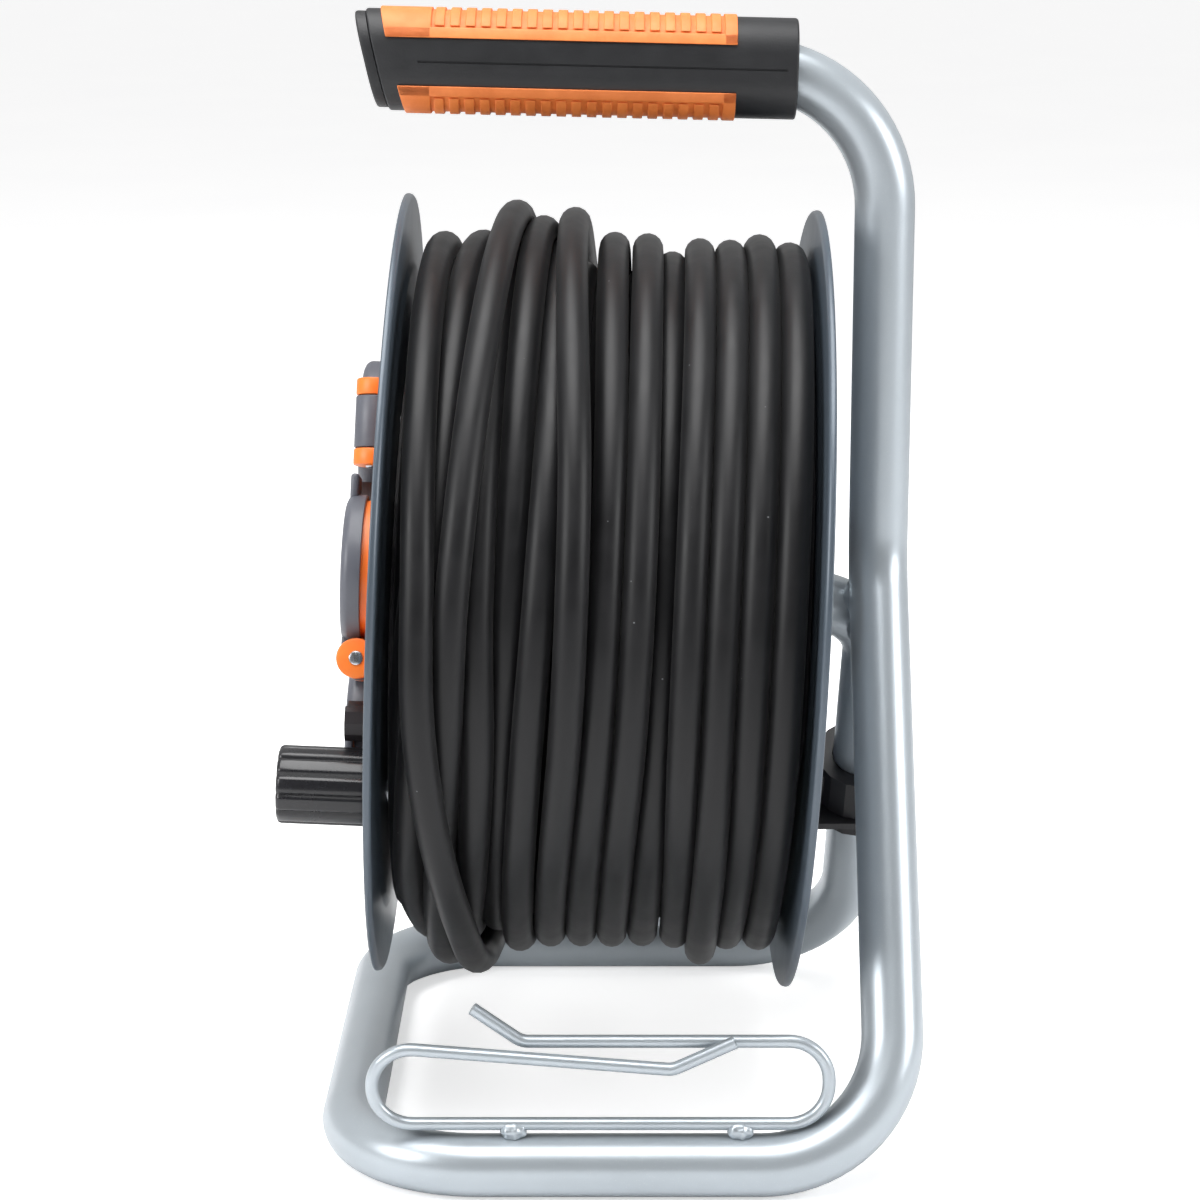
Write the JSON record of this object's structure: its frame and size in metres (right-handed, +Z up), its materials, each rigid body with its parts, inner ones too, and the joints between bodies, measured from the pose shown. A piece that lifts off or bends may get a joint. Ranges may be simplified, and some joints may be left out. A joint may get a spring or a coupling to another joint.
{
  "type": "extension cord reel",
  "caption": "Steel-flanged cable reel on a bent tube stand, with lidded sockets, a winding knob, a padded handle grip, a wire clip and a drum brake.",
  "frame": {"origin": "on the floor, under the middle of the reel without its cable and plug", "axes": "+X from the front panel to the upright, +Z up, -Y the side with the wire clip"},
  "size_m": [0.2324, 0.2903, 0.4064],
  "materials": {
    "silver_paint": "satin metallic paint",
    "slate_paint": "semi-gloss powder coat",
    "black_plastic": "fine grain",
    "knob_plastic": "polished",
    "grey_plastic": "satin",
    "orange_plastic": "satin",
    "orange_rubber": "matt, ribbed",
    "black_rubber": "matt, slightly waxy",
    "zinc_steel": "bright zinc plate",
    "contact_brass": "plain"
  },
  "bodies": {
    "stand": {"frame_tube": "silver_paint", "wire_clip": "silver_paint", "grip_sleeve": "black_plastic", "grip_pad_top": "orange_rubber", "grip_pad_bottom": "orange_rubber", "grip_end_cap": "black_plastic", "axle_end_plug": "zinc_steel", "retaining_washer": "zinc_steel", "retaining_screw": "zinc_steel", "brake_collar": "black_plastic", "brake_collar_screw": "zinc_steel"},
    "brake": {"brake_plate": "black_plastic"},
    "drum": {"rear_flange": "slate_paint", "front_flange": "slate_paint", "drum_core": "black_plastic", "cable_gland": "black_plastic", "bush_front": "grey_plastic", "bush_rear": "grey_plastic", "rear_flange_screw_1": "zinc_steel", "rear_flange_screw_2": "zinc_steel", "rear_flange_screw_3": "zinc_steel", "front_panel": "black_plastic", "panel_screw_1": "zinc_steel", "panel_screw_2": "zinc_steel", "panel_screw_3": "zinc_steel", "thermal_cutout_body": "black_plastic", "terminal_block": "grey_plastic", "socket_insert_1": "black_plastic", "socket_insert_2": "black_plastic", "socket_insert_3": "black_plastic", "socket_insert_4": "black_plastic", "earth_contact_1": "contact_brass", "earth_contact_2": "contact_brass", "earth_contact_3": "contact_brass", "earth_contact_4": "contact_brass", "socket_frame_1": "orange_plastic", "socket_frame_2": "orange_plastic", "socket_frame_3": "orange_plastic", "socket_frame_4": "orange_plastic", "lid_hinge_pin_1": "zinc_steel", "lid_hinge_pin_2": "zinc_steel", "lid_hinge_pin_3": "zinc_steel", "lid_hinge_pin_4": "zinc_steel", "lid_spring_1": "zinc_steel", "lid_spring_2": "zinc_steel", "lid_spring_3": "zinc_steel", "lid_spring_4": "zinc_steel", "knob_pin": "zinc_steel", "cable_winding": "black_rubber", "plug_body": "black_rubber", "plug_pin_1": "zinc_steel", "plug_pin_2": "zinc_steel"},
    "knob": {"winding_knob": "knob_plastic"},
    "reset": {"reset_button": "orange_plastic"},
    "lid_1": {"socket_lid_1": "grey_plastic"},
    "lid_2": {"socket_lid_2": "grey_plastic"},
    "lid_3": {"socket_lid_3": "grey_plastic"},
    "lid_4": {"socket_lid_4": "grey_plastic"}
  },
  "joints": [
    {"name": "drum_spin", "type": "hinge", "parent": "stand", "child": "drum", "pos_m": [-0.0021, 0, 0.1906], "axis": [0.9991, 0, -0.0419], "continuous": true},
    {"name": "knob_spin", "type": "hinge", "parent": "drum", "child": "knob", "pos_m": [-0.09824, -0.06943, 0.13422], "axis": [0.9991, 0, -0.0419], "continuous": true},
    {"name": "brake_slide", "type": "slide", "parent": "stand", "child": "brake", "axis": [-1, 0, 0], "range_m": [0, 0.0028]},
    {"name": "reset_press", "type": "slide", "parent": "drum", "child": "reset", "axis": [0.9991, 0, -0.0419], "range_m": [0, 0.0025], "stiffness_N_per_m": 400, "springref_m": -0.001},
    {"name": "lid_1_hinge", "type": "hinge", "parent": "drum", "child": "lid_1", "pos_m": [-0.08676, -0.06265, 0.17881], "axis": [0.0115, -0.9613, 0.2754], "range_deg": [0, 100], "stiffness_Nm_per_rad": 0.03, "springref_deg": -28.65},
    {"name": "lid_2_hinge", "type": "hinge", "parent": "drum", "child": "lid_2", "pos_m": [-0.0835, -0.01533, 0.25672], "axis": [0.0403, 0.2756, 0.9604], "range_deg": [0, 100], "stiffness_Nm_per_rad": 0.03, "springref_deg": -28.65},
    {"name": "lid_3_hinge", "type": "hinge", "parent": "drum", "child": "lid_3", "pos_m": [-0.08548, 0.06265, 0.20943], "axis": [-0.0115, 0.9613, -0.2754], "range_deg": [0, 100], "stiffness_Nm_per_rad": 0.03, "springref_deg": -28.65},
    {"name": "lid_4_hinge", "type": "hinge", "parent": "drum", "child": "lid_4", "pos_m": [-0.08875, 0.01533, 0.13153], "axis": [-0.0403, -0.2756, -0.9604], "range_deg": [0, 100], "stiffness_Nm_per_rad": 0.03, "springref_deg": -28.65}
  ]
}
